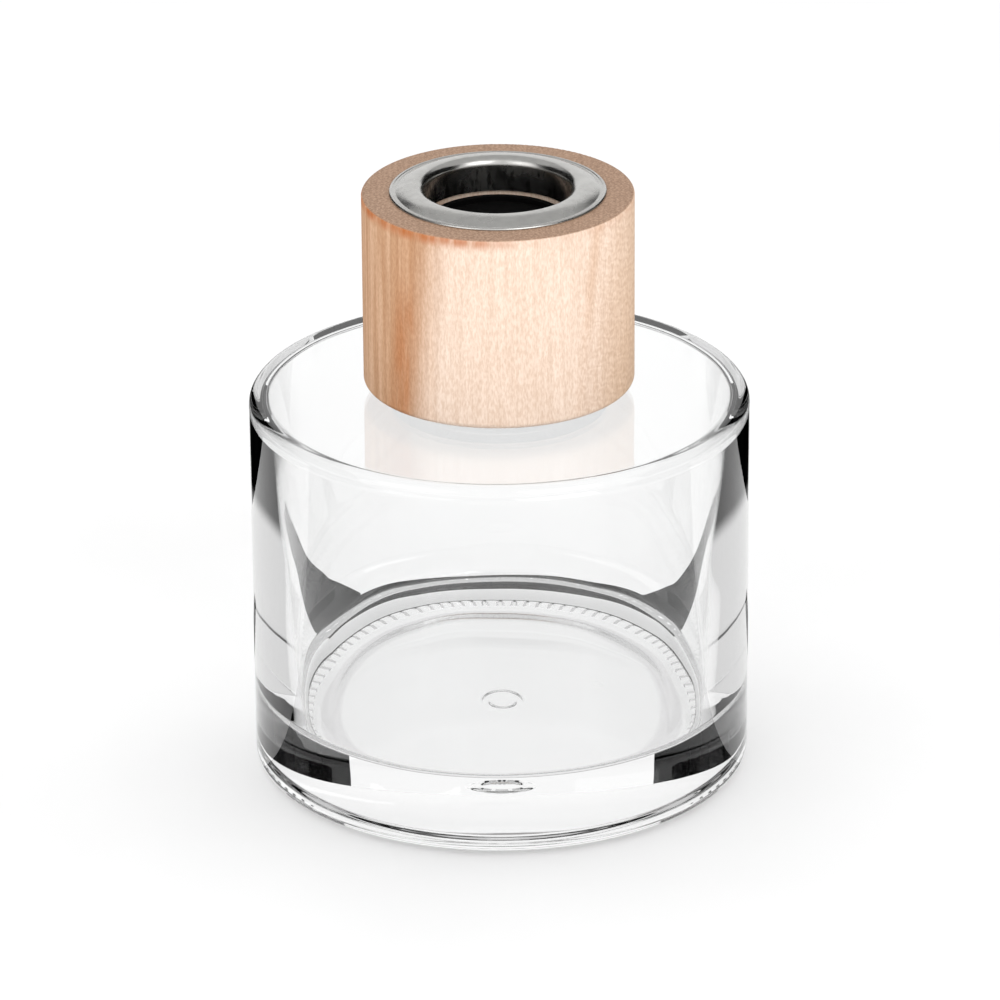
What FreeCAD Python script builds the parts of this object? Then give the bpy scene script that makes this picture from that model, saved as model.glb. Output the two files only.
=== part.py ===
import FreeCAD, Part
import math
import os

# A glass reed diffuser bottle with a turned wood screw collar.
# Its frame has the origin at the centre of the base and +Z up. All sizes are in millimetres.

# Glass bottle
body_r = 35.0
shoulder_z = 55.6
shoulder_round = 1.5
heel_round = 1.8
heel_rise = 0.55
bearing_r = 30.4
bearing_rise = 0.25
bearing_bevel = 0.15
wall_top = 1.6
wall_taper = 3.6
ceiling_thick = 1.4
ceiling_round = 1.4
throat_round = 1.2
floor_z = 10.4
floor_corner_round = 1.5
floor_dish = 1.0
punt_r = 27.4
punt_slope = 3.1
punt_step = 0.3
punt_rise = 0.1
mark_r = 2.6
mark_width = 0.5
mark_depth = 0.35
knurl_count = 90
knurl_width = 0.8
knurl_inner_r = 28.9

# Screw neck, to the 28 mm one-and-a-half-turn finish
neck_root_r = 12.5
neck_bore_r = 9.0
neck_height = 18.0
neck_foot_round = 1.2
rim_round = 0.6
thread_lead = 25.4 / 6
thread_turns = 1.5
thread_crest_r = 13.65
thread_base_width = 2.2
thread_crest_width = 0.9
thread_top_below_rim = 2.6
thread_root_sunk = 0.6
thread_start_sunk = 0.3
thread_root_flare = 0.2
thread_step = 15
thread_run_out = 45

# Turned wood collar
collar_r = 18.9
collar_gap = 1.8
collar_height = 27.8
collar_foot_round = 0.8
collar_top_round = 0.4
collar_hole_r = 10.75
collar_hole_round = 0.6

# Threaded liner, pressed into the collar
liner_r = 15.12
liner_press = 0.02
liner_recess = 1.0
liner_bore_r = 13.95
liner_hole_r = 10.3
liner_flange = 1.5
liner_crest_r = 13.0
liner_seat_gap = 0.1

# Metal ring, over the collar's hole
ring_r = 15.08
ring_gap = 0.05
ring_throat_r = 10.24
ring_skirt_wall = 0.45
ring_skirt = 3.9
ring_edge_z = 0.02
ring_bead = 0.3
ring_groove_r = 14.25
ring_groove_z = 0.2
ring_crest_z = 1.05
ring_lip = 1.3
ring_corner = 0.5
ring_dome_bulge = 0.22
ring_bead_reach = 0.8
ring_bead_drop = 0.6

# Stopper in the neck's bore
plug_head_r = 9.9
plug_head_height = 7.4
plug_shank_r = 8.5
plug_rib_r = 8.95
plug_head_round = 0.4
plug_foot_round = 0.5
plug_rib_count = 3
plug_rib_pitch = 2.8
plug_rib_above_foot = 2.0
plug_rib_half = 0.6
plug_rib_crest_half = 0.1
plug_rib_root = 1.0
plug_length_below_rim = 11.0
plug_core_r = 6.9
plug_crown = 2.2
plug_dish_r = 8.7
plug_dish_depth = 0.7
plug_seat_gap = 0.1

# Heights that follow
rim_z = shoulder_z + neck_height
thread_top_z = rim_z - thread_top_below_rim
thread_foot_z = thread_top_z - thread_lead * thread_turns
cavity_r = body_r - wall_top
floor_r = cavity_r - wall_taper
ceiling_z = shoulder_z - ceiling_thick
collar_foot_z = shoulder_z + collar_gap
collar_top_z = collar_foot_z + collar_height
liner_foot_z = collar_foot_z + liner_recess
liner_seat_z = rim_z + liner_seat_gap
liner_top_z = liner_seat_z + liner_flange
plug_seat_z = rim_z + plug_seat_gap
plug_top_z = plug_seat_z + plug_head_height
plug_foot_z = rim_z - plug_length_below_rim


def point(r, z):
    return FreeCAD.Vector(r, 0, z)


def turned(points):
    """The solid turned about Z from an outline of (r, z) points."""
    corners = [point(r, z) for r, z in points]
    face = Part.Face(Part.makePolygon(corners + corners[:1]))
    return face.revolve(FreeCAD.Vector(0, 0, 0), FreeCAD.Vector(0, 0, 1), 360)


def turned_edges(edges):
    """The solid turned about Z from lines and arcs that close an outline."""
    face = Part.Face(Part.Wire(Part.__sortEdges__(edges)))
    return face.revolve(FreeCAD.Vector(0, 0, 0), FreeCAD.Vector(0, 0, 1), 360)


def rounded(shape, radius, r, z):
    """The shape with its round edge at radius r and height z filleted."""
    chosen = []
    for edge in shape.Edges:
        if edge.Degenerated or not isinstance(edge.Curve, Part.Circle):
            continue
        curve = edge.Curve
        if abs(curve.Radius - r) < 1e-4 and abs(curve.Center.z - z) < 1e-4:
            chosen.append(edge)
    return shape.makeFillet(radius, chosen)


def cylinder(r, low, high):
    return Part.makeCylinder(r, high - low, FreeCAD.Vector(0, 0, low))


def line_edge(start, end):
    return Part.LineSegment(point(*start), point(*end)).toShape()


def arc_edge(start, middle, end):
    return Part.Arc(point(*start), point(*middle), point(*end)).toShape()


def bowed_edge(middle_z, rim):
    """An arc centred on the axis, from the axis at middle_z to the rim's (r, z)."""
    rim_r, rim_height = rim
    rise = middle_z - rim_height
    sphere_r = (rim_r ** 2 + rise ** 2) / (2 * abs(rise))
    half = math.asin(rim_r / sphere_r) / 2
    up = 1 if rise > 0 else -1
    halfway = (sphere_r * math.sin(half), middle_z - up * sphere_r * (1 - math.cos(half)))
    return arc_edge((0, middle_z), halfway, rim)


def ogee_edges(start, end):
    """Two equal arcs that leave the start and reach the end level, with end outward and below."""
    across, drop = end[0] - start[0], start[1] - end[1]
    bend_r = (across ** 2 + drop ** 2) / (4 * drop)
    half = math.atan(drop / across)
    out, down = bend_r * math.sin(half), bend_r * (1 - math.cos(half))
    middle = (start[0] + across / 2, start[1] - drop / 2)
    return [
        arc_edge(start, (start[0] + out, start[1] - down), middle),
        arc_edge(middle, (end[0] - out, end[1] + down), end),
    ]


def thread_ridge(root_r, crest_r, foot_z):
    """A right-hand ridge from root_r to crest_r, inward or outward, that runs out at both ends."""
    outward = 1 if crest_r > root_r else -1
    base_r = root_r - thread_root_sunk * outward
    start_r = root_r - thread_start_sunk * outward
    root_half = thread_base_width / 2 + thread_root_flare
    crest_half = thread_crest_width / 2
    last = int(thread_turns * 360 / thread_step)
    sections = []
    for i in range(last + 1):
        share = min(1, min(i, last - i) * thread_step / thread_run_out)
        top_r = start_r + (crest_r - start_r) * math.sin(share * math.pi / 2)
        angle = math.radians(i * thread_step)
        z = foot_z + thread_lead * i * thread_step / 360
        outline = [(base_r, -root_half), (top_r, -crest_half), (top_r, crest_half), (base_r, root_half)]
        corners = [
            FreeCAD.Vector(r * math.cos(angle), r * math.sin(angle), z + rise)
            for r, rise in outline
        ]
        sections.append(Part.makePolygon(corners + corners[:1]))
    return Part.makeLoft(sections, True, False)


def glass_outside():
    outside = turned([
        (0, 0),
        (bearing_r, 0),
        (bearing_r + bearing_bevel, bearing_rise),
        (body_r, heel_rise),
        (body_r, shoulder_z),
        (neck_root_r, shoulder_z),
        (neck_root_r, rim_z),
        (0, rim_z),
    ])
    outside = rounded(outside, heel_round, body_r, heel_rise)
    outside = rounded(outside, shoulder_round, body_r, shoulder_z)
    outside = rounded(outside, neck_foot_round, neck_root_r, shoulder_z)
    return rounded(outside, rim_round, neck_root_r, rim_z)


def glass_inside():
    """The bore and the cavity, which narrows towards a dished floor."""
    corners = [
        (floor_r, floor_z),
        (cavity_r, ceiling_z),
        (neck_bore_r, ceiling_z),
        (neck_bore_r, rim_z),
        (0, rim_z),
        (0, floor_z - floor_dish),
    ]
    edges = [line_edge(start, end) for start, end in zip(corners, corners[1:])]
    inside = turned_edges([bowed_edge(floor_z - floor_dish, corners[0])] + edges)
    inside = rounded(inside, floor_corner_round, floor_r, floor_z)
    inside = rounded(inside, ceiling_round, cavity_r, ceiling_z)
    return rounded(inside, throat_round, neck_bore_r, ceiling_z)


def punt():
    """The shallow hollow under the base: a low dome, and a slope down to the bearing ring."""
    dome_rim = (punt_r - punt_slope, punt_step)
    top_z = punt_step + punt_rise
    edges = [bowed_edge(top_z, dome_rim)] + ogee_edges(dome_rim, (punt_r, 0))
    edges += [line_edge((punt_r, 0), (0, 0)), line_edge((0, 0), (0, top_z))]
    return turned_edges(edges)


def ring_mark():
    """The round mark pressed into the middle of the base."""
    top_z = punt_step + punt_rise + mark_depth
    return cylinder(mark_r, 0, top_z).cut(cylinder(mark_r - mark_width, 0, top_z))


def knurl():
    """The radial nicks in the bearing ring's outer half, as deep as the ring stands out."""
    nicks = []
    length = bearing_r + bearing_bevel - knurl_inner_r
    for i in range(knurl_count):
        nick = Part.makeBox(length, knurl_width, 2 * bearing_rise)
        nick.translate(FreeCAD.Vector(knurl_inner_r, -knurl_width / 2, -bearing_rise))
        turn = (i + 0.5) * 360 / knurl_count
        nick.rotate(FreeCAD.Vector(0, 0, 0), FreeCAD.Vector(0, 0, 1), turn)
        nicks.append(nick)
    return Part.makeCompound(nicks)


def glass_bottle():
    glass = glass_outside().cut(glass_inside()).cut(punt()).cut(ring_mark())
    glass = glass.fuse(thread_ridge(neck_root_r, thread_crest_r, thread_foot_z))
    return glass.cut(knurl())


def wood_collar():
    block = cylinder(collar_r, collar_foot_z, collar_top_z)
    block = rounded(block, collar_foot_round, collar_r, collar_foot_z)
    block = rounded(block, collar_top_round, collar_r, collar_top_z)
    block = block.cut(cylinder(liner_r - liner_press, collar_foot_z, liner_top_z))
    block = block.cut(cylinder(collar_hole_r, liner_top_z, collar_top_z))
    return rounded(block, collar_hole_round, collar_hole_r, collar_top_z)


def thread_liner():
    sleeve = turned([
        (liner_bore_r, liner_foot_z),
        (liner_r, liner_foot_z),
        (liner_r, liner_top_z),
        (liner_hole_r, liner_top_z),
        (liner_hole_r, liner_seat_z),
        (liner_bore_r, liner_seat_z),
    ])
    ridge = thread_ridge(liner_bore_r, liner_crest_r, thread_foot_z - thread_lead / 2)
    return sleeve.fuse(ridge)


def metal_ring():
    """An outer bead, a groove, a dome with a rounded lip, and a skirt down the collar's hole."""
    low = collar_top_z + ring_gap
    skirt_low = collar_top_z - ring_skirt
    skirt_r = ring_throat_r + ring_skirt_wall
    foot_round = ring_skirt_wall / 2
    diagonal = math.sqrt(0.5)

    crest = (ring_throat_r + ring_lip, low + ring_crest_z)
    lip_foot = (ring_throat_r, crest[1] - ring_lip)
    lip_middle = (crest[0] - ring_lip * diagonal, lip_foot[1] + ring_lip * diagonal)
    groove = (ring_groove_r, low + ring_groove_z)
    dome_middle = ((crest[0] + groove[0]) / 2, (crest[1] + groove[1]) / 2 + ring_dome_bulge)
    bead_foot = (ring_r, low + ring_edge_z)
    bead_top = (ring_r - ring_bead, bead_foot[1] + ring_bead)
    bead_end = (bead_top[0] - ring_bead * ring_bead_reach, bead_foot[1] + ring_bead * ring_bead_drop)

    edge_foot = (ring_r, low)
    corner_out = (skirt_r + ring_corner, low)
    corner_middle = (corner_out[0] - ring_corner * diagonal, low - ring_corner * (1 - diagonal))
    corner_in = (skirt_r, low - ring_corner)
    foot_out = (skirt_r, skirt_low + foot_round)
    foot_middle = (skirt_r - foot_round, skirt_low)
    foot_in = (ring_throat_r, skirt_low + foot_round)
    return turned_edges([
        arc_edge(lip_foot, lip_middle, crest),
        arc_edge(crest, dome_middle, groove),
        line_edge(groove, bead_end),
        arc_edge(bead_end, bead_top, bead_foot),
        line_edge(bead_foot, edge_foot),
        line_edge(edge_foot, corner_out),
        arc_edge(corner_out, corner_middle, corner_in),
        line_edge(corner_in, foot_out),
        arc_edge(foot_out, foot_middle, foot_in),
        line_edge(foot_in, lip_foot),
    ])


def plug_rib(rib_z):
    return turned([
        (plug_shank_r - plug_rib_root, rib_z - plug_rib_half),
        (plug_shank_r, rib_z - plug_rib_half),
        (plug_rib_r, rib_z - plug_rib_crest_half),
        (plug_rib_r, rib_z + plug_rib_crest_half),
        (plug_shank_r, rib_z + plug_rib_half),
        (plug_shank_r - plug_rib_root, rib_z + plug_rib_half),
    ])


def neck_plug():
    plug = turned([
        (0, plug_foot_z),
        (plug_shank_r, plug_foot_z),
        (plug_shank_r, plug_seat_z),
        (plug_head_r, plug_seat_z),
        (plug_head_r, plug_top_z),
        (0, plug_top_z),
    ])
    plug = rounded(plug, plug_head_round, plug_head_r, plug_top_z)
    plug = rounded(plug, plug_foot_round, plug_shank_r, plug_foot_z)
    for i in range(plug_rib_count):
        plug = plug.fuse(plug_rib(plug_foot_z + plug_rib_above_foot + i * plug_rib_pitch))
    plug = plug.cut(cylinder(plug_core_r, plug_foot_z, plug_top_z - plug_crown))
    return plug.cut(cylinder(plug_dish_r, plug_top_z - plug_dish_depth, plug_top_z))


os.makedirs("parts", exist_ok=True)
for make in (glass_bottle, wood_collar, thread_liner, metal_ring, neck_plug):
    shape = make()
    if not shape.isValid() or len(shape.Solids) != 1:
        raise SystemExit(f"{make.__name__} is not one valid solid")
    shape.Solids[0].exportStep(f"parts/{make.__name__}.step")
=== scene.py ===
import math

import bpy
from mathutils import Matrix, Vector, noise


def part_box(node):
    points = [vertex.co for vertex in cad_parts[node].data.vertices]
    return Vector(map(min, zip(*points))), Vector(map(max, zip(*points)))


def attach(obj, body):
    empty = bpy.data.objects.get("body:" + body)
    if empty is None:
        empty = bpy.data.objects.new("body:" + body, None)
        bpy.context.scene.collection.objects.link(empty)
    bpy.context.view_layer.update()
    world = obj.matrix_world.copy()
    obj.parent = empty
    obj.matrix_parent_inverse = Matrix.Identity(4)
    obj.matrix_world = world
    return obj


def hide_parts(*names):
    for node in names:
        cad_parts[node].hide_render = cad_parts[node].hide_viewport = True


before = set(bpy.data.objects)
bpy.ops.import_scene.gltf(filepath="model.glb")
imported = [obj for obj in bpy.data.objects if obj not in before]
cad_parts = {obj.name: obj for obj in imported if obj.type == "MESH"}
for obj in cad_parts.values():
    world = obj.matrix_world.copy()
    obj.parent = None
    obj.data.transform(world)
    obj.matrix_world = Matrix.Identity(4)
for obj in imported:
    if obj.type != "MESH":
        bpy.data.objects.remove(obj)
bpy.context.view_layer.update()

MM = 0.001

# How many steps the meshes have along a round, a small round and the long gentle curves
ROUND_STEPS = 10
SMALL_STEPS = 6
PUNT_STEPS = 50
SLOPE_STEPS = 8
DISH_STEPS = 24
LIP_STEPS = 16
DOME_STEPS = 20
# How far past a surface a test still takes a point as on it
MARGIN = 0.1 * MM

# The glass, as the CAD model has it. Its outer radius and height come from the frame.
glass_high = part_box("glass_bottle")[1]
BODY_R = glass_high.x
RIM_Z = glass_high.z
SHOULDER_Z = RIM_Z - 18.0 * MM
SHOULDER_ROUND = 1.5 * MM
HEEL_ROUND = 1.8 * MM
HEEL_RISE = 0.55 * MM
BEARING_R = 30.4 * MM
BEARING_RISE = 0.25 * MM
BEARING_BEVEL = 0.15 * MM
WALL_TOP = 1.6 * MM
WALL_TAPER = 3.6 * MM
CEILING_Z = SHOULDER_Z - 1.4 * MM
CEILING_ROUND = 1.4 * MM
THROAT_ROUND = 1.2 * MM
FLOOR_Z = 10.4 * MM
FLOOR_CORNER = 1.5 * MM
FLOOR_DISH = 1.0 * MM
PUNT_R = 27.4 * MM
PUNT_SLOPE = 3.1 * MM
PUNT_STEP = 0.3 * MM
PUNT_RISE = 0.1 * MM
MARK_R = 2.6 * MM
MARK_WIDTH = 0.5 * MM
MARK_DEPTH = 0.35 * MM
UNDERSIDE_Z = 3 * MM
NECK_R = 12.5 * MM
BORE_R = 9.0 * MM
NECK_FOOT_ROUND = 1.2 * MM
RIM_ROUND = 0.6 * MM
THREAD_CREST_R = 13.65 * MM
THREAD_LEAD = 25.4 / 6 * MM
THREAD_TURNS = 1.5
THREAD_CREST_HALF = 0.45 * MM
THREAD_FOOT_HALF = 1.1 * MM
# The thread rises from the neck over one part in this many of a turn
THREAD_FADE = 8
THREAD_TOP_Z = RIM_Z - 2.6 * MM
KNURL_COUNT = 90
KNURL_INNER_R = 28.9 * MM
KNURL_EDGE = 0.02 * MM
# The share of each knurl's wave where its nick starts to rise, and where it is full
KNURL_START = 0.45
KNURL_FULL = 0.75
SEGMENTS = KNURL_COUNT * 8
# The slight unevenness inside, its length and how much it is squeezed in height
WAVE_DEPTH = 0.12 * MM
WAVE_LENGTH = 11 * MM
WAVE_STRETCH = 0.6

# The metal ring, as the CAD model has it
collar_low, collar_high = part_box("wood_collar")
RING_LOW = collar_high.z + 0.05 * MM
RING_R = 15.08 * MM
THROAT_R = 10.24 * MM
SKIRT_WALL = 0.45 * MM
SKIRT_LOW = collar_high.z - 3.9 * MM
RING_EDGE = 0.02 * MM
RING_BEAD = 0.3 * MM
BEAD_START = 143
GROOVE_R = 14.25 * MM
GROOVE_RISE = 0.2 * MM
CREST_RISE = 1.05 * MM
RING_LIP = 1.3 * MM
RING_CORNER = 0.5 * MM
RING_SEGMENTS = 256


def lerp(a, b, t):
    return a + (b - a) * t


def smooth(low, high, value):
    t = min(1.0, max(0.0, (value - low) / (high - low)))
    return t * t * (3 - 2 * t)


# Outlines of turned pieces

def arc(centre_r, centre_z, radius, start, end, steps):
    """Points on a circular arc, with angles in degrees from the +R direction."""
    points = []
    for i in range(steps + 1):
        a = math.radians(lerp(start, end, i / steps))
        points.append((centre_r + radius * math.cos(a), centre_z + radius * math.sin(a)))
    return points


def line(start, end, steps):
    """Points between two ends, closer together near them, without the ends."""
    points = []
    for i in range(1, steps):
        t = 0.5 - 0.5 * math.cos(math.pi * i / steps)
        points.append((lerp(start[0], end[0], t), lerp(start[1], end[1], t)))
    return points


def joined(parts, steps):
    """One outline from arcs, with a line of points between each and the next."""
    outline = list(parts[0])
    for part, count in zip(parts[1:], steps):
        outline += line(outline[-1], part[0], count)
        outline += part
    return outline


def turned_mesh(name, outline, segments, shift=None, closed=False):
    """A mesh turned about Z. An open outline starts and ends on the axis."""
    rows = outline if closed else outline[1:-1]
    verts = []
    for r, z in rows:
        for k in range(segments):
            angle = 2 * math.pi * k / segments
            place = (r, z) if shift is None else shift(r, z, angle)
            verts.append((place[0] * math.cos(angle), place[0] * math.sin(angle), place[1]))
    faces = []
    last = len(rows) if closed else len(rows) - 1
    for i in range(last):
        j = (i + 1) % len(rows)
        for k in range(segments):
            m = (k + 1) % segments
            faces.append((i * segments + k, i * segments + m, j * segments + m, j * segments + k))
    if not closed:
        for row, end in ((0, outline[0]), (len(rows) - 1, outline[-1])):
            verts.append((0, 0, end[1]))
            hub = len(verts) - 1
            for k in range(segments):
                m = (k + 1) % segments
                rim = (row * segments + m, row * segments + k)
                faces.append((hub, *rim) if row == 0 else (hub, *rim[::-1]))
    mesh = bpy.data.meshes.new(name)
    mesh.from_pydata(verts, [], faces)
    mesh.polygons.foreach_set("use_smooth", [True] * len(mesh.polygons))
    mesh.update()
    obj = bpy.data.objects.new(name, mesh)
    bpy.context.scene.collection.objects.link(obj)
    return obj


# Materials

class Nodes:
    """A short way to write a node tree."""

    def __init__(self, name):
        self.material = bpy.data.materials.new(name)
        self.material.use_nodes = True
        self.tree = self.material.node_tree
        self.shader = self.tree.nodes["Principled BSDF"]
        self.output = self.tree.nodes["Material Output"]

    def add(self, kind, inputs=None, **settings):
        node = self.tree.nodes.new("ShaderNode" + kind)
        for key, value in settings.items():
            setattr(node, key, value)
        for key, value in (inputs or {}).items():
            self.put(node.inputs[key], value)
        return node

    def put(self, socket, value):
        if isinstance(value, bpy.types.NodeSocket):
            self.tree.links.new(value, socket)
        elif isinstance(value, bpy.types.Node):
            self.tree.links.new(value.outputs[0], socket)
        else:
            socket.default_value = value

    def maths(self, operation, first, second=None):
        values = {0: first} if second is None else {0: first, 1: second}
        return self.add("Math", values, operation=operation).outputs[0]

    def mix(self, blend, share, first, second):
        node = self.add("Mix", data_type="RGBA", blend_type=blend)
        self.put(node.inputs["Factor"], share)
        self.put(node.inputs[6], first)
        self.put(node.inputs[7], second)
        return node.outputs[2]

    def set(self, **values):
        for key, value in values.items():
            self.put(self.shader.inputs[key.replace("_", " ")], value)


def ramped(n, value, low, high, bottom=0.0, top=1.0):
    """A value carried from one range to another, smoothly, and held at its ends."""
    return n.add("MapRange", {"Value": value, "From Min": low, "From Max": high, "To Min": bottom,
                              "To Max": top}, interpolation_type="SMOOTHSTEP").outputs[0]


# The punt's slope is painted darker, a painted shade, which fades in over these widths and
# below this height
SLOPE_SHADE = (0.74, 0.73, 0.74, 1)
SLOPE_OUTER_FADE = 0.3 * MM
SLOPE_INNER_FADE = 0.5 * MM
SLOPE_TOP = 0.6 * MM
SLOPE_FULL = 0.5 * MM
# Stands in for light that goes round and round in the lower wall: a ray that has bounced more
# than this often, between these heights, gathers this much light
TRAPPED_BOUNCES = 5.5
TRAPPED_LIGHT = 0.62
TRAPPED_HIGH = 32 * MM
TRAPPED_HIGH_FADE = 5 * MM
TRAPPED_LOW = 4 * MM
TRAPPED_LOW_FADE = 3 * MM
GLASS_DARK = (0.985, 0.988, 0.988, 1)
GLASS_LIGHT = (0.992, 0.993, 0.993, 1)
GLASS_SHADOW = (0.985, 0.985, 0.985, 1)
WHITE = (1, 1, 1, 1)


def glass_material():
    n = Nodes("glass")
    place = n.add("TexCoord").outputs["Object"]
    tint = n.add("TexNoise", {"Vector": place, "Scale": 30.0, "Detail": 2.0})
    ramp = n.add("ValToRGB", {"Fac": tint})
    ramp.color_ramp.elements[0].color = GLASS_DARK
    ramp.color_ramp.elements[1].color = GLASS_LIGHT
    axes = n.add("SeparateXYZ", {0: place})
    height = axes.outputs["Z"]
    flat = n.add("CombineXYZ", {0: axes.outputs["X"], 1: axes.outputs["Y"]})
    reach = n.add("VectorMath", {0: flat}, operation="LENGTH").outputs["Value"]
    inner_r = PUNT_R - PUNT_SLOPE
    in_edge = ramped(n, reach, PUNT_R + SLOPE_OUTER_FADE, PUNT_R - SLOPE_OUTER_FADE)
    out_of_middle = ramped(n, reach, inner_r - SLOPE_INNER_FADE, inner_r + SLOPE_INNER_FADE)
    on_slope = n.maths("MULTIPLY", in_edge, out_of_middle)
    on_slope = n.maths("MULTIPLY", on_slope, ramped(n, height, SLOPE_TOP, SLOPE_FULL))
    # Painted shade: the punt's slope is greyed in the glass's colour
    base = n.mix("MIX", on_slope, ramp, SLOPE_SHADE)
    ripple = n.add("TexNoise", {"Vector": place, "Scale": 55.0, "Detail": 1.0})
    bump = n.add("Bump", {"Strength": 0.25, "Distance": 0.2 * MM, "Height": ripple})
    n.set(Base_Color=base, Roughness=0.0, IOR=1.52, Transmission_Weight=1.0, Normal=bump)
    path = n.add("LightPath")
    below = ramped(n, height, TRAPPED_HIGH, TRAPPED_HIGH - TRAPPED_HIGH_FADE)
    above = ramped(n, height, TRAPPED_LOW, TRAPPED_LOW + TRAPPED_LOW_FADE)
    in_wall = n.maths("MULTIPLY", below, above)
    bounced = n.maths("GREATER_THAN", path.outputs["Ray Depth"], TRAPPED_BOUNCES)
    trapped = n.maths("MULTIPLY", in_wall, bounced)
    gathered = n.add("Emission", {"Color": WHITE, "Strength": TRAPPED_LIGHT})
    lit = n.add("MixShader", {0: trapped, 1: n.shader.outputs[0], 2: gathered.outputs[0]})
    through = n.add("BsdfTransparent", {"Color": GLASS_SHADOW})
    both = n.add("MixShader", {0: path.outputs["Is Shadow Ray"], 1: lit.outputs[0],
                               2: through.outputs[0]})
    n.put(n.output.inputs["Surface"], both.outputs[0])
    return n.material


def colour(red, green, blue):
    """A linear colour from the usual 0 to 255 values."""
    linear = []
    for value in (red, green, blue):
        v = value / 255
        linear.append(v / 12.92 if v <= 0.04045 else ((v + 0.055) / 1.055) ** 2.4)
    return (*linear, 1)


def speckled(n, vector, scale, detail, shades):
    """A noise that runs between two shades."""
    grain = n.add("TexNoise", {"Vector": vector, "Scale": scale, "Detail": detail})
    ramp = n.add("ValToRGB", {"Fac": grain})
    for element, place, shade in zip(ramp.color_ramp.elements, (0.35, 0.65), shades):
        element.position = place
        element.color = shade
    return ramp


def plastic_material(name, dark, light, roughness, shine):
    n = Nodes(name)
    place = n.add("TexCoord").outputs["Object"]
    base = speckled(n, place, 900.0, 3.0, (dark, light))
    n.set(Base_Color=base, Roughness=roughness, Specular_IOR_Level=shine)
    return n.material


WOOD_PALE = colour(252, 230, 213)
WOOD_EDGE_SHADE = colour(238, 209, 183)
WOOD_TAN = colour(206, 160, 123)
WOOD_TAN_LIGHT = colour(228, 188, 155)
WOOD_STREAK = colour(200, 136, 90)
# The sawn top's end grain, painted darker as shade as well
WOOD_SCORCH = colour(188, 104, 44)
END_GRAIN_SHADE_DARK = colour(150, 120, 98)
END_GRAIN_SHADE_LIGHT = colour(186, 154, 130)
# Across the collar, from its middle: how far the grain leans and wanders, where the tan flank
# gives way to pale wood and that to painted shade at its right edge, the dark streak, a paler
# line, and the curl
GRAIN_LEAN = -0.1
GRAIN_WANDER = 4 * MM
TAN_END = -12.8 * MM
PALE_START = -6.5 * MM
PALE_END = 12.5 * MM
EDGE_SHADE_START = 19 * MM
STREAK_X = -12.6 * MM
STREAK_HALF = 2.6 * MM
STREAK_CORE = 0.2 * MM
STREAK_FADE_TOP = 9 * MM
STREAK_FADE_FOOT = -3 * MM
PALE_LINE_X = 12.2 * MM
PALE_LINE_HALF = 1.2 * MM
PALE_LINE_CORE = 0.1 * MM
PALE_LINE_FOOT = -6 * MM
PALE_LINE_TOP = 8 * MM
CURL_START = 8 * MM
CURL_FULL = 15 * MM
CURL_TILT = -35
# Down from the collar's top: the sawn face of end grain, painted darker as shade, and the
# scorched band under its left edge
SAWN_FOOT = 0.22 * MM
SAWN_FULL = 0.03 * MM
SCORCH_FOOT = 1.9 * MM
SCORCH_FULL = 0.4 * MM
SCORCH_END_X = 4 * MM
SCORCH_FULL_X = -9 * MM


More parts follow.
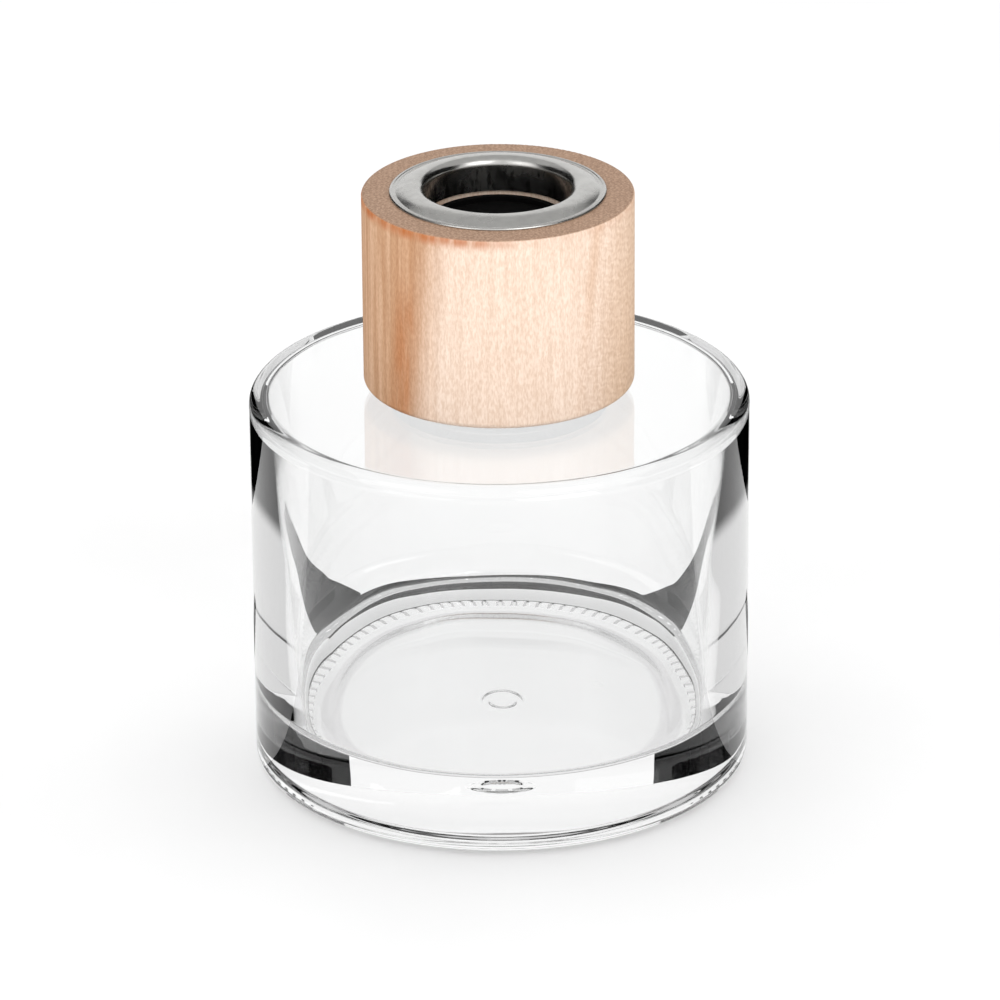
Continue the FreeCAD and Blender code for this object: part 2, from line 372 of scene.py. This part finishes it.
def wood_material():
    """Pale wood, upright grain, a tan flank, a dark streak, painted shade on its edge and sawn top.
    """
    n = Nodes("wood")
    place = n.add("TexCoord").outputs["Object"]
    axes = n.add("SeparateXYZ", {0: place})
    x, z = axes.outputs["X"], axes.outputs["Z"]
    height = n.maths("SUBTRACT", z, (collar_low.z + collar_high.z) / 2)

    def upright(stretch):
        return n.add("Mapping", {"Vector": place, "Scale": (1, 1, stretch)})

    drift = n.add("TexNoise", {"Vector": upright(0.1), "Scale": 150.0, "Detail": 3.0})
    wander = n.maths("MULTIPLY", n.maths("SUBTRACT", drift, 0.5), GRAIN_WANDER)
    leaned = n.maths("ADD", x, n.maths("MULTIPLY", height, GRAIN_LEAN))
    across = n.maths("ADD", leaned, wander)

    bands = n.add("TexNoise", {"Vector": upright(0.04), "Scale": 620.0, "Detail": 3.0})
    tan = n.mix("MIX", ramped(n, bands, 0.38, 0.64), WOOD_TAN, WOOD_TAN_LIGHT)
    # Painted shade: the pale wood darkens towards its right edge
    pale = n.mix("MIX", ramped(n, across, PALE_END, EDGE_SHADE_START), WOOD_PALE, WOOD_EDGE_SHADE)
    toned = n.mix("MIX", ramped(n, across, TAN_END, PALE_START), tan, pale)

    off_streak = n.maths("ABSOLUTE", n.maths("SUBTRACT", across, STREAK_X))
    low_down = ramped(n, height, STREAK_FADE_TOP, STREAK_FADE_FOOT, 0.15, 1.0)
    blotch = n.add("TexNoise", {"Vector": upright(0.15), "Scale": 700.0, "Detail": 4.0})
    streak = n.maths("MULTIPLY", ramped(n, off_streak, STREAK_HALF, STREAK_CORE), low_down)
    streak = n.maths("MULTIPLY", streak, ramped(n, blotch, 0.25, 0.6, 0.25, 0.9))
    toned = n.mix("MIX", streak, toned, WOOD_STREAK)
    off_line = n.maths("ABSOLUTE", n.maths("SUBTRACT", across, PALE_LINE_X))
    line_share = n.maths("MULTIPLY", ramped(n, off_line, PALE_LINE_HALF, PALE_LINE_CORE),
                         ramped(n, height, PALE_LINE_FOOT, PALE_LINE_TOP, 0.1, 0.4))
    toned = n.mix("MIX", line_share, toned, WOOD_TAN_LIGHT)

    fibres = n.add("TexNoise", {"Vector": upright(0.3), "Scale": 4200.0, "Detail": 3.0})
    strands = n.add("TexNoise", {"Vector": upright(0.05), "Scale": 1500.0, "Detail": 2.0})
    for grain, shade in ((strands, colour(246, 243, 240)), (fibres, colour(238, 230, 222))):
        grained = n.mix("MIX", ramped(n, grain, 0.3, 0.7), shade, WHITE)
        toned = n.mix("MULTIPLY", 1.0, toned, grained)
    tilted = n.add("Mapping", {"Vector": place, "Rotation": (0, math.radians(CURL_TILT), 0)})
    figure = n.add("TexWave", {"Vector": tilted, "Scale": 330.0, "Distortion": 9.0, "Detail": 3.0,
                               "Detail Scale": 2.0}, wave_type="BANDS", bands_direction="Z")
    curl = n.maths("MULTIPLY", ramped(n, across, CURL_START, CURL_FULL, 0.0, 0.5), figure)
    toned = n.mix("MULTIPLY", curl, toned, colour(236, 226, 216))

    # The sawn top: end grain with saw lines, and painted shade that darkens it
    end_speckle = n.add("TexNoise", {"Vector": place, "Scale": 3600.0, "Detail": 3.0})
    end_grain_and_shade = n.mix("MIX", ramped(n, end_speckle, 0.3, 0.7), END_GRAIN_SHADE_DARK, END_GRAIN_SHADE_LIGHT)
    saw_lines = n.add("TexWave", {"Vector": place, "Scale": 420.0, "Distortion": 6.0, "Detail": 2.0,
                                  "Detail Scale": 2.0}, wave_type="BANDS", bands_direction="X")
    end_grain_and_shade = n.mix("MULTIPLY", ramped(n, saw_lines, 0.0, 1.0, 0.0, 0.35), end_grain_and_shade,
                     colour(222, 212, 204))
    on_top = ramped(n, z, collar_high.z - SAWN_FOOT, collar_high.z - SAWN_FULL)

    near_top = ramped(n, z, collar_high.z - SCORCH_FOOT, collar_high.z - SCORCH_FULL)
    on_left = ramped(n, across, SCORCH_END_X, SCORCH_FULL_X, 0.12, 0.9)
    scorch = n.maths("MULTIPLY", n.maths("MULTIPLY", near_top, on_left),
                     ramped(n, blotch, 0.3, 0.65, 0.35, 1.0))
    sides = n.mix("MIX", scorch, toned, WOOD_SCORCH)
    base = n.mix("MIX", on_top, sides, end_grain_and_shade)
    bump = n.add("Bump", {"Strength": 0.3, "Distance": 0.04 * MM, "Height": fibres})
    n.set(Base_Color=base, Roughness=0.62, Specular_IOR_Level=0.25, Normal=bump)
    return n.material


# The throat's painted shade, dark streaks for its shade and reflections: how far down they are
# full, and how near its wall they start
THROAT_SHADE_DROP = 1.2 * MM
THROAT_SHADE_OUTER = 0.3 * MM
THROAT_SHADE_INNER = 0.05 * MM


def steel_material():
    """Satin steel, brushed round the axis, with painted shade streaks down the throat."""
    n = Nodes("satin_steel")
    place = n.add("TexCoord").outputs["Object"]
    axes = n.add("SeparateXYZ", {0: place})
    flat = n.add("CombineXYZ", {0: axes.outputs["X"], 1: axes.outputs["Y"]})
    reach = n.add("VectorMath", {0: flat}, operation="LENGTH").outputs["Value"]
    turned = n.add("CombineXYZ", {0: reach, 2: axes.outputs["Z"]})
    brushed = n.add("TexNoise", {"Vector": turned, "Scale": 7000.0, "Detail": 2.0})
    worn = n.add("TexNoise", {"Vector": place, "Scale": 220.0, "Detail": 3.0})
    upright = n.add("Mapping", {"Vector": place, "Scale": (1, 1, 0.3)})
    shade_streaks = n.add("TexNoise", {"Vector": upright, "Scale": 1300.0, "Detail": 4.0})
    # Painted shade: dark streaks down the throat stand in for its shade and the dark things it
    # mirrors
    down = ramped(n, axes.outputs["Z"], RING_LOW, RING_LOW - THROAT_SHADE_DROP)
    inward = ramped(n, reach, THROAT_R + THROAT_SHADE_OUTER, THROAT_R + THROAT_SHADE_INNER)
    in_throat = n.maths("MULTIPLY", down, inward)
    throat_shade = n.maths("MULTIPLY", in_throat, ramped(n, shade_streaks, 0.48, 0.62, 0.0, 0.75))
    bright = speckled(n, place, 900.0, 2.0, (colour(188, 187, 184), colour(196, 195, 192)))
    base = n.mix("MIX", throat_shade, bright, colour(62, 58, 55))
    rough = ramped(n, worn, 0.3, 0.7, 0.2, 0.3)
    bump = n.add("Bump", {"Strength": 0.1, "Distance": 0.01 * MM, "Height": brushed})
    n.set(Base_Color=base, Metallic=1.0, Roughness=rough, Normal=bump)
    return n.material


def dress(node, material):
    """Gives a CAD node its material."""
    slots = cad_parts[node].material_slots
    for material_slot in slots:
        material_slot.material = material


# The bottle

def thread_rise(z, angle):
    """How far the neck's outside stands out at this height and angle."""
    reach = THREAD_TURNS * THREAD_LEAD
    foot_z = THREAD_TOP_Z - reach
    rise = 0.0
    for turn in range(-1, 3):
        along = angle / (2 * math.pi) + turn
        if not 0 <= along <= THREAD_TURNS:
            continue
        centre = foot_z + along * THREAD_LEAD
        fade = min(1.0, min(along, THREAD_TURNS - along) * THREAD_FADE)
        flank = 1 - smooth(THREAD_CREST_HALF, THREAD_FOOT_HALF, abs(z - centre))
        rise = max(rise, flank * math.sin(fade * math.pi / 2))
    return rise * (THREAD_CREST_R - NECK_R)


def bowed(rim_r, rim_z, middle_z, steps):
    """Points on an arc centred on the axis, from its middle to its rim."""
    rise = middle_z - rim_z
    sphere_r = (rim_r ** 2 + rise ** 2) / (2 * abs(rise))
    half_angle = math.asin(rim_r / sphere_r)
    points = []
    for i in range(steps + 1):
        a = half_angle * i / steps
        drop = sphere_r * (1 - math.cos(a))
        points.append((sphere_r * math.sin(a), middle_z - math.copysign(drop, rise)))
    return points


def ogee(start, end, steps):
    """Points on two equal arcs that leave the start and reach the end level."""
    across, drop = end[0] - start[0], start[1] - end[1]
    bend_r = (across ** 2 + drop ** 2) / (4 * drop)
    turn = math.degrees(2 * math.atan(drop / across))
    upper = arc(start[0], start[1] - bend_r, bend_r, 90, 90 - turn, steps)
    lower = arc(end[0], end[1] + bend_r, bend_r, 270 - turn, 270, steps)
    return upper[1:] + lower[1:]


def punt():
    """The hollow under the base, from the axis to its edge."""
    rim = (PUNT_R - PUNT_SLOPE, PUNT_STEP)
    middle = bowed(*rim, PUNT_STEP + PUNT_RISE, PUNT_STEPS)
    return middle + ogee(rim, (PUNT_R, 0), SLOPE_STEPS)


def heel():
    """The bearing ring's outer edge, and the gentle slope and round from it to the wall."""
    foot = (BEARING_R + BEARING_BEVEL, BEARING_RISE)
    slope = math.atan((HEEL_RISE - foot[1]) / (BODY_R - foot[0]))
    tangent = HEEL_ROUND * math.tan((math.pi / 2 - slope) / 2)
    start = math.degrees(slope) - 90
    corner = arc(BODY_R - HEEL_ROUND, HEEL_RISE + tangent, HEEL_ROUND, start, 0, ROUND_STEPS)
    return [foot] + line(foot, corner[0], ROUND_STEPS) + corner


def cavity_floor():
    """The cavity's rounded corner, from its leaning wall, and its dished floor to the axis."""
    corner_r = BODY_R - WALL_TOP - WALL_TAPER
    lean = math.atan(WALL_TAPER / (CEILING_Z - FLOOR_Z))
    fall = math.atan(FLOOR_DISH / corner_r) * 2
    turn = math.pi / 2 - lean - fall
    tangent = FLOOR_CORNER * math.tan(turn / 2)
    wall_foot = (corner_r + tangent * math.sin(lean), FLOOR_Z + tangent * math.cos(lean))
    centre_r = wall_foot[0] - FLOOR_CORNER * math.cos(lean)
    centre_z = wall_foot[1] + FLOOR_CORNER * math.sin(lean)
    start, end = -math.degrees(lean), math.degrees(fall) - 90
    corner = arc(centre_r, centre_z, FLOOR_CORNER, start, end, ROUND_STEPS)
    dish = bowed(corner_r, FLOOR_Z, FLOOR_Z - FLOOR_DISH, DISH_STEPS)
    reach = corner[-1][0] - FLOOR_CORNER / 4
    return corner + [place for place in dish[::-1] if place[0] < reach]


def bottle_outline():
    cavity_r = BODY_R - WALL_TOP
    shoulder_z = SHOULDER_Z - SHOULDER_ROUND
    neck_foot_z = SHOULDER_Z + NECK_FOOT_ROUND
    rim_z = RIM_Z - RIM_ROUND
    throat_z = CEILING_Z + THROAT_ROUND
    ceiling_z = CEILING_Z - CEILING_ROUND
    parts = [
        punt(),
        [(KNURL_INNER_R, 0)],
        [(KNURL_INNER_R + KNURL_EDGE, 0)],
        [(BEARING_R, 0)],
        heel(),
        arc(BODY_R - SHOULDER_ROUND, shoulder_z, SHOULDER_ROUND, 0, 90, ROUND_STEPS),
        arc(NECK_R + NECK_FOOT_ROUND, neck_foot_z, NECK_FOOT_ROUND, 270, 180, SMALL_STEPS),
        arc(NECK_R - RIM_ROUND, rim_z, RIM_ROUND, 0, 90, SMALL_STEPS),
        arc(BORE_R + RIM_ROUND, rim_z, RIM_ROUND, 90, 180, SMALL_STEPS),
        arc(BORE_R + THROAT_ROUND, throat_z, THROAT_ROUND, 180, 270, SMALL_STEPS),
        arc(cavity_r - CEILING_ROUND, ceiling_z, CEILING_ROUND, 90, 0, ROUND_STEPS),
        cavity_floor(),
    ]
    steps_between = [4, 1, 6, 3, 24, 14, 44, 2, 10, 14, 44]
    return joined(parts, steps_between)


def inner_wave(r, z, angle):
    """The slight unevenness of the glass inside, as a share from -1 to 1."""
    around = Vector((r * math.cos(angle), r * math.sin(angle), z * WAVE_STRETCH)) / WAVE_LENGTH
    return noise.noise(around)


def shaped_glass(r, z, angle):
    """The turned outline's point, with its unevenness, the knurl, the ring mark and the thread."""
    over_floor = FLOOR_Z - FLOOR_DISH - MARGIN < z < CEILING_Z
    if over_floor and r < BODY_R - WALL_TOP + MARGIN:
        wave = WAVE_DEPTH * inner_wave(r, z, angle) * min(1.0, r / BORE_R)
        on_wall = smooth(FLOOR_Z, FLOOR_Z + FLOOR_CORNER, z)
        return r + wave * on_wall, z + wave * (1 - on_wall)
    if z < UNDERSIDE_Z and MARK_R - MARK_WIDTH < r < MARK_R:
        z += MARK_DEPTH
    if z < BEARING_RISE and KNURL_INNER_R < r < BEARING_R + BEARING_BEVEL:
        wave = 0.5 - 0.5 * math.cos(angle * KNURL_COUNT)
        z += (BEARING_RISE - z) * smooth(KNURL_START, KNURL_FULL, wave)
    if z > SHOULDER_Z + NECK_FOOT_ROUND and r > NECK_R - MARGIN:
        r += thread_rise(z, angle)
    return r, z


def make_bottle():
    bottle = turned_mesh("bottle_glass", bottle_outline(), SEGMENTS, shaped_glass)
    bottle.data.materials.append(glass_material())
    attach(bottle, "bottle")
    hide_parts("glass_bottle")


# The metal ring

def ring_outline():
    """An outer bead, a groove, a dome with a rounded lip, and a skirt down the collar's hole."""
    crest_r = THROAT_R + RING_LIP
    crest_z = RING_LOW + CREST_RISE
    bead_r = RING_R - RING_BEAD
    bead_z = RING_LOW + RING_EDGE
    skirt_r = THROAT_R + SKIRT_WALL
    foot_r = SKIRT_WALL / 2
    corner_z = RING_LOW - RING_CORNER
    dome = []
    for i in range(DOME_STEPS + 1):
        t = i / DOME_STEPS
        r = lerp(crest_r, GROOVE_R, t)
        dome.append((r, RING_LOW + lerp(CREST_RISE, GROOVE_RISE, t * t)))
    parts = [
        arc(crest_r, crest_z - RING_LIP, RING_LIP, 180, 90, LIP_STEPS),
        dome[1:],
        arc(bead_r, bead_z, RING_BEAD, BEAD_START, 0, ROUND_STEPS),
        [(RING_R, RING_LOW)],
        arc(skirt_r + RING_CORNER, corner_z, RING_CORNER, 90, 180, SMALL_STEPS),
        arc(skirt_r - foot_r, SKIRT_LOW + foot_r, foot_r, 0, -180, ROUND_STEPS),
    ]
    steps_between = [1, 2, 1, 4, 4]
    return joined(parts, steps_between)[::-1]


def make_ring():
    ring = turned_mesh("ring_steel", ring_outline(), RING_SEGMENTS, closed=True)
    ring.data.materials.append(steel_material())
    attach(ring, "ring")
    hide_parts("metal_ring")


# The studio

CAMERA_ELEVATION = 23.52
CAMERA_DISTANCE = 970.1 * MM
CAMERA_AIM_Z = 38.74 * MM
CAMERA_LENS = 248.24
CAMERA_ROLL = -0.4


def make_camera():
    data = bpy.data.cameras.new("camera")
    data.lens = CAMERA_LENS
    data.sensor_width = 36
    data.clip_start, data.clip_end = 0.01, 20
    camera = bpy.data.objects.new("camera", data)
    elevation = math.radians(CAMERA_ELEVATION)
    camera.location = (
        0,
        -CAMERA_DISTANCE * math.cos(elevation),
        CAMERA_AIM_Z + CAMERA_DISTANCE * math.sin(elevation),
    )
    tilt = Matrix.Rotation(math.pi / 2 - elevation, 3, "X")
    roll = Matrix.Rotation(math.radians(CAMERA_ROLL), 3, "Z")
    camera.rotation_euler = (tilt @ roll).to_euler()
    bpy.context.scene.collection.objects.link(camera)
    bpy.context.scene.camera = camera


FLOOR_HALF = 3.0
FLOOR_DROP = 0.02 * MM


def lying(low, high, z):
    """The corners of a level card between two places on the floor, at a height."""
    return [(low[0], low[1], z), (high[0], low[1], z), (high[0], high[1], z), (low[0], high[1], z)]


def make_floor():
    mesh = bpy.data.meshes.new("floor")
    corners = lying((-FLOOR_HALF, -FLOOR_HALF), (FLOOR_HALF, FLOOR_HALF), 0)
    mesh.from_pydata(corners, [], [(0, 1, 2, 3)])
    floor = bpy.data.objects.new("floor", mesh)
    floor.location.z = -FLOOR_DROP
    n = Nodes("floor")
    place = n.add("TexCoord").outputs["Object"]
    base = speckled(n, place, 20.0, 2.0, (colour(247, 247, 247), colour(250, 250, 250)))
    n.set(Base_Color=base, Roughness=0.9, Specular_IOR_Level=0.0)
    floor.data.materials.append(n.material)
    bpy.context.scene.collection.objects.link(floor)


# Cards and papers round the bottle, which draw its dark edges. The camera, the floor and the
# shadows don't see them. They stand still, where they suit the camera's view, each on both sides.

# Upright black cards behind the bottle, with a gap between them, and others along its sides
GAP_HALF = 160 * MM
BACK_Y = 320 * MM
SIDE_X = 340 * MM
SIDE_NEAR_Y = -170 * MM
SIDE_FOOT_Z = 90 * MM
CARD_HEIGHT = 380 * MM
# Black paper on the floor behind the bottle, to either side
PAPER_X = 56 * MM
PAPER_Y = 85 * MM
PAPER_FAR = 1000 * MM
PAPER_LIFT = 0.1 * MM
# The shade that lies on the floor against the back of the bottle: its inner edge is an arc round
# the heel, and its outer edge has these points on the right, in mm
SHADE_INNER_R = 34.3 * MM
SHADE_REACH = 58
SHADE_STEPS = 20
SHADE_OUTER = ((33, 25), (53, 47), (50, 53), (33, 42), (16, 39), (0, 38.5))
# A thin black ring on the floor under the bearing ring, a painted contact shade
LINE_R = 30.75 * MM
LINE_WIDTH = 0.35 * MM
LINE_LIFT = 0.05 * MM
LINE_STEPS = 180
# A glowing paper under the base, painted light that brightens the floor seen through it
UNDER_R = 30.6 * MM
UNDER_GLOW = 0.93
UNDER_DROP = 0.01 * MM
UNDER_STEPS = 90
# The dark floor before the bottle, which only the glass's mirrored rays see
FRONT_HALF = 500 * MM
FRONT_Y = -6 * MM
FRONT_FAR = -500 * MM
FRONT_HOLE_R = 35.5 * MM
FRONT_STEPS = 24
# A grey card overhead
ROOF_Z = 600 * MM
ROOF_HALF = 600 * MM
ROOF_NEAR = -250 * MM
ROOF_FAR = 620 * MM
ROOF_GREY = 0.6
CARD_SPECKLE = 0.004


def make_card(name, corners, grey=0.0, glow=0.0, mirrored_only=False):
    mesh = bpy.data.meshes.new(name)
    mesh.from_pydata(corners, [], [tuple(range(len(corners)))])
    card = bpy.data.objects.new(name, mesh)
    n = Nodes(name)
    place = n.add("TexCoord").outputs["Object"]
    light = grey + CARD_SPECKLE
    base = speckled(n, place, 30.0, 2.0, ((grey, grey, grey, 1), (light, light, light, 1)))
    n.set(Base_Color=base, Roughness=1.0, Specular_IOR_Level=0.0)
    n.set(Emission_Color=WHITE, Emission_Strength=glow)
    mesh.materials.append(n.material)
    bpy.context.scene.collection.objects.link(card)
    card.visible_camera = False
    card.visible_diffuse = False
    card.visible_shadow = False
    card.visible_transmission = not mirrored_only


def standing(start, end, low, high):
    """The corners of an upright card over the line between two places on the floor."""
    return [(*start, low), (*end, low), (*end, high), (*start, high)]


def make_cards():
    front_angle = -math.degrees(math.asin(-FRONT_Y / FRONT_HOLE_R))
    for side in (-1, 1):
        inner = (side * GAP_HALF, BACK_Y)
        outer = (side * SIDE_X, BACK_Y)
        make_card("back_card", standing(inner, outer, 0, CARD_HEIGHT))
        near_end = (side * SIDE_X, SIDE_NEAR_Y)
        make_card("side_card", standing(outer, near_end, SIDE_FOOT_Z, CARD_HEIGHT))
        near = (side * PAPER_X, PAPER_Y)
        far = (side * PAPER_FAR, PAPER_FAR)
        make_card("floor_paper", lying(near, far, PAPER_LIFT))
        shade = arc(0, 0, SHADE_INNER_R, 90, 90 - SHADE_REACH, SHADE_STEPS)
        shade += [(x * MM, y * MM) for x, y in SHADE_OUTER]
        make_card("floor_shade", [(side * x, y, PAPER_LIFT) for x, y in shade])
        hole = arc(0, 0, FRONT_HOLE_R, -90, front_angle, FRONT_STEPS)
        front = [(0, FRONT_FAR)] + hole + [(FRONT_HALF, FRONT_Y), (FRONT_HALF, FRONT_FAR)]
        front = [(side * x, y, PAPER_LIFT) for x, y in front]
        make_card("front_floor", front, mirrored_only=True)
    # Painted contact shade: a thin black ring on the floor under the bearing ring
    contact_shade_ring = arc(0, 0, LINE_R, 0, 360, LINE_STEPS)
    contact_shade_ring += arc(0, 0, LINE_R + LINE_WIDTH, 0, 360, LINE_STEPS)[::-1]
    make_card("bearing_contact_shade", [(x, y, LINE_LIFT) for x, y in contact_shade_ring])
    # Painted light: a glowing card under the base
    under = arc(0, 0, UNDER_R, 0, 360, UNDER_STEPS)[1:]
    make_card("under_glow_card", [(x, y, -UNDER_DROP) for x, y in under], glow=UNDER_GLOW)
    roof = lying((-ROOF_HALF, ROOF_NEAR), (ROOF_HALF, ROOF_FAR), ROOF_Z)
    make_card("roof_card", roof, ROOF_GREY)


LIGHT_SIZE = 0.5
LIGHT_DISTANCE = 0.9
LIGHT_AIM_Z = 40 * MM
KEY_POWER = 1.6
FILL_POWER = 0.8
WORLD_LIGHT = 1.0


def make_light(name, azimuth, elevation, power):
    """A soft square light, with its angles in degrees from the front and from level."""
    data = bpy.data.lights.new(name, "AREA")
    data.shape = "RECTANGLE"
    data.size = LIGHT_SIZE
    data.size_y = LIGHT_SIZE
    data.energy = power
    light = bpy.data.objects.new(name, data)
    a, e = math.radians(azimuth), math.radians(elevation)
    aim = Vector((0, 0, LIGHT_AIM_Z))
    away = Vector((math.sin(a) * math.cos(e), -math.cos(a) * math.cos(e), math.sin(e)))
    light.location = aim + away * LIGHT_DISTANCE
    light.rotation_euler = away.to_track_quat("Z", "Y").to_euler()
    bpy.context.scene.collection.objects.link(light)


def make_world():
    world = bpy.data.worlds.new("studio")
    world.use_nodes = True
    background = world.node_tree.nodes["Background"]
    background.inputs["Color"].default_value = WHITE
    background.inputs["Strength"].default_value = WORLD_LIGHT
    bpy.context.scene.world = world


make_bottle()
make_ring()
dress("wood_collar", wood_material())
dress("thread_liner", plastic_material("liner", colour(14, 14, 14), colour(20, 20, 20), 0.45, 0.4))
dress("neck_plug", plastic_material("stopper", colour(5, 5, 5), colour(9, 8, 8), 0.8, 0.06))
make_camera()
make_floor()
make_cards()
make_light("key", 30, 35, KEY_POWER)
make_light("fill", -40, 30, FILL_POWER)
make_world()
bpy.context.scene.view_settings.view_transform = "Standard"
